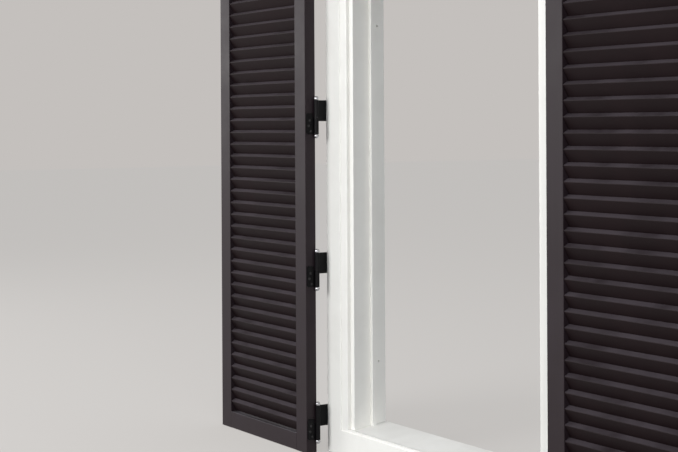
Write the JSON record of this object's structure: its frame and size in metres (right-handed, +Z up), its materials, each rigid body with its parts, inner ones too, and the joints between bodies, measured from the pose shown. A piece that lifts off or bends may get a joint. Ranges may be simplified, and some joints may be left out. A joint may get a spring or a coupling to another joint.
{
  "type": "louvred shutters",
  "caption": "Louvred window shutters on ball-tipped hinges, folded back on either side of a window frame with a sloping sill.",
  "frame": {"origin": "middle of the back face of the lowest casing board, on the face of the wall", "axes": "+X along the wall to the right as seen from outside, +Y into the wall, +Z up"},
  "size_m": [2.162, 0.1984, 1.5545],
  "materials": {
    "dark_painted_wood": "satin",
    "black_steel": "satin",
    "bright_steel": "polished",
    "white_painted_wood": "gloss"
  },
  "bodies": {
    "window_frame": {"casing_left": "white_painted_wood", "casing_right": "white_painted_wood", "casing_head": "white_painted_wood", "casing_foot": "white_painted_wood", "jamb_left": "white_painted_wood", "jamb_right": "white_painted_wood", "jamb_head": "white_painted_wood", "window_sill": "white_painted_wood", "outer_stop_left": "white_painted_wood", "outer_stop_right": "white_painted_wood", "outer_stop_head": "white_painted_wood", "parting_stop_left": "white_painted_wood", "parting_stop_right": "white_painted_wood", "parting_stop_head": "white_painted_wood", "left_hinge_frame_halves": "black_steel", "left_hinge_pins": "bright_steel", "left_hinge_ball_tips": "bright_steel", "right_hinge_frame_halves": "black_steel", "right_hinge_pins": "bright_steel", "right_hinge_ball_tips": "bright_steel"},
    "left_shutter": {"left_hinge_stile": "dark_painted_wood", "left_meeting_stile": "dark_painted_wood", "left_top_rail": "dark_painted_wood", "left_bottom_rail": "dark_painted_wood", "left_slats": "dark_painted_wood", "left_hinge_shutter_halves": "black_steel"},
    "right_shutter": {"right_hinge_stile": "dark_painted_wood", "right_meeting_stile": "dark_painted_wood", "right_top_rail": "dark_painted_wood", "right_bottom_rail": "dark_painted_wood", "right_slats": "dark_painted_wood", "right_hinge_shutter_halves": "black_steel"}
  },
  "joints": [
    {"name": "left_shutter_hinge", "type": "hinge", "parent": "window_frame", "child": "left_shutter", "pos_m": [-0.5415, -0.06722, 0], "axis": [0, 0, 1], "range_deg": [0, 180]},
    {"name": "right_shutter_hinge", "type": "hinge", "parent": "window_frame", "child": "right_shutter", "pos_m": [0.5415, -0.06722, 0], "axis": [0, 0, -1], "range_deg": [0, 180]}
  ]
}
